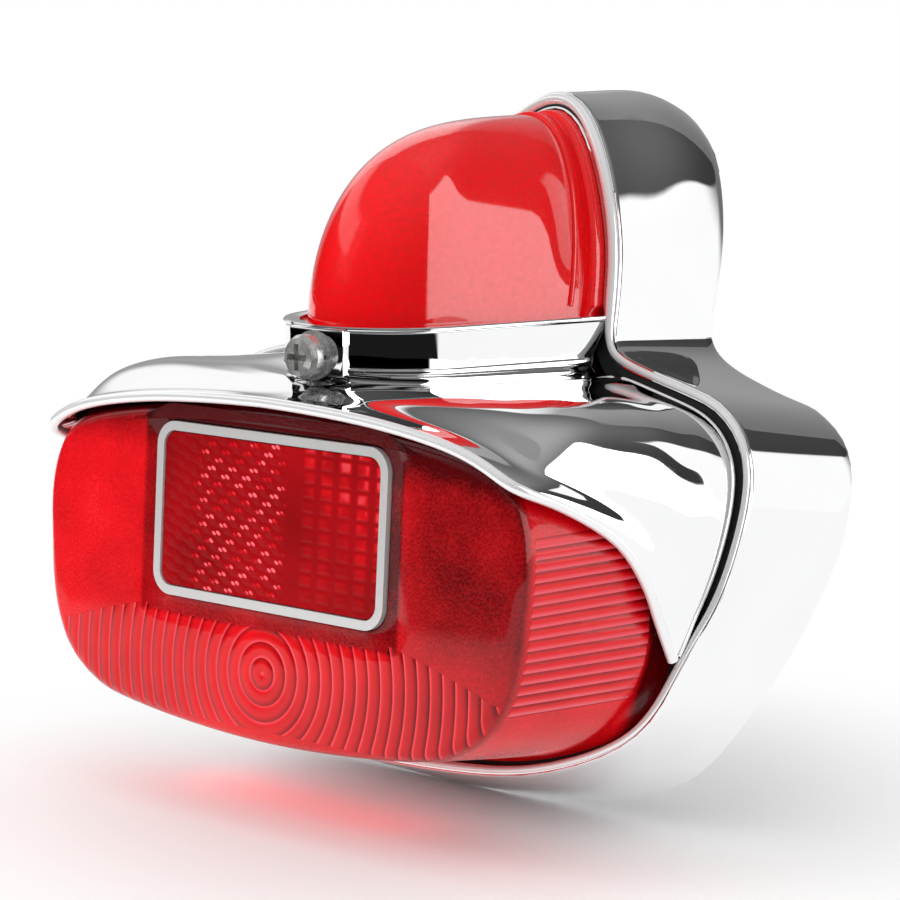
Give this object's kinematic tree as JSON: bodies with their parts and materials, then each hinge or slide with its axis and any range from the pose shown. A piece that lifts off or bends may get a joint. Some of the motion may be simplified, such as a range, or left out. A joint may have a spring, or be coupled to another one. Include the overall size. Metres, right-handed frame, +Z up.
{
  "type": "scooter tail light",
  "caption": "Rear lamp for a scooter: chromed housing with a tower, ribbed red lower lens with a framed reflector, chromed visor and collar, and a red dome lens.",
  "frame": {"origin": "centre of the circle of three mounting holes, on the slanted mounting face", "axes": "+X to the right seen from the front of the lamp, +Y back towards the scooter, +Z up"},
  "size_m": [0.1428, 0.1148, 0.1315],
  "materials": {
    "housing_chrome": "mirror chrome plating on the cast housing",
    "visor_chrome": "mirror chrome plating on the visor and its collar",
    "satin_frame": "satin chrome",
    "screw_steel": "nickel-plated steel",
    "spring_steel": "bright spring wire",
    "zinc": "zinc-plated sheet",
    "brass": "plain brass",
    "rubber": "matt black rubber",
    "red_lens": "clear red acrylic with ribs and fine pebbles",
    "red_dome": "clear red acrylic with a fine pebble grain",
    "reflector_red": "prismatic red acrylic",
    "clear_glass": "clear glass",
    "insulation": "brown laminated board"
  },
  "bodies": {
    "lamp": {"housing": "housing_chrome", "base_gasket": "rubber", "cable_grommet": "rubber", "rim_seal": "rubber", "lower_lens": "red_lens", "reflector_frame": "satin_frame", "reflector": "reflector_red", "reflector_backing": "zinc", "visor": "visor_chrome", "dome_lens": "red_dome", "dome_seal": "rubber", "bulb_carrier": "zinc", "carrier_screws": "screw_steel", "tail_socket": "zinc", "tail_insulator": "insulation", "tail_spring": "spring_steel", "tail_terminal": "brass", "brake_socket": "zinc", "brake_insulator": "insulation", "brake_spring": "spring_steel", "brake_terminal": "brass"},
    "screw_washers": {"lock_washer": "screw_steel", "plain_washer": "screw_steel"},
    "visor_screw": {"visor_screw": "screw_steel"},
    "tail_bulb": {"tail_bulb_cap": "brass", "tail_bulb_glass": "clear_glass"},
    "tail_contact": {"tail_contact": "brass"},
    "brake_bulb": {"brake_bulb_cap": "brass", "brake_bulb_glass": "clear_glass"},
    "brake_contact": {"brake_contact": "brass"}
  },
  "joints": [
    {"name": "visor_screw_advance", "type": "slide", "parent": "lamp", "child": "screw_washers", "axis": [0, -1, 0], "range_m": [0, 0.0028]},
    {"name": "visor_screw_turn", "type": "hinge", "parent": "screw_washers", "child": "visor_screw", "pos_m": [0, -0.068, 0.029], "axis": [0, 1, 0], "range_deg": [0, 1440]},
    {"name": "tail_bulb_push", "type": "slide", "parent": "lamp", "child": "tail_bulb", "axis": [0, 1, 0], "range_m": [0, 0.0015], "stiffness_N_per_m": 1500, "springref_m": -0.003},
    {"name": "tail_contact_push", "type": "slide", "parent": "lamp", "child": "tail_contact", "axis": [0, 1, 0], "range_m": [0, 0.0015], "deforming": ["tail_spring"]},
    {"name": "brake_bulb_push", "type": "slide", "parent": "lamp", "child": "brake_bulb", "axis": [0, 1, 0], "range_m": [0, 0.0015], "stiffness_N_per_m": 1500, "springref_m": -0.003},
    {"name": "brake_contact_push", "type": "slide", "parent": "lamp", "child": "brake_contact", "axis": [0, 1, 0], "range_m": [0, 0.0015], "deforming": ["brake_spring"]}
  ],
  "couplings": [
    {"joint": "visor_screw_turn", "follows": "visor_screw_advance", "rad_per_m": 8976},
    {"joint": "tail_contact_push", "follows": "tail_bulb_push", "ratio": 1},
    {"joint": "brake_contact_push", "follows": "brake_bulb_push", "ratio": 1}
  ]
}
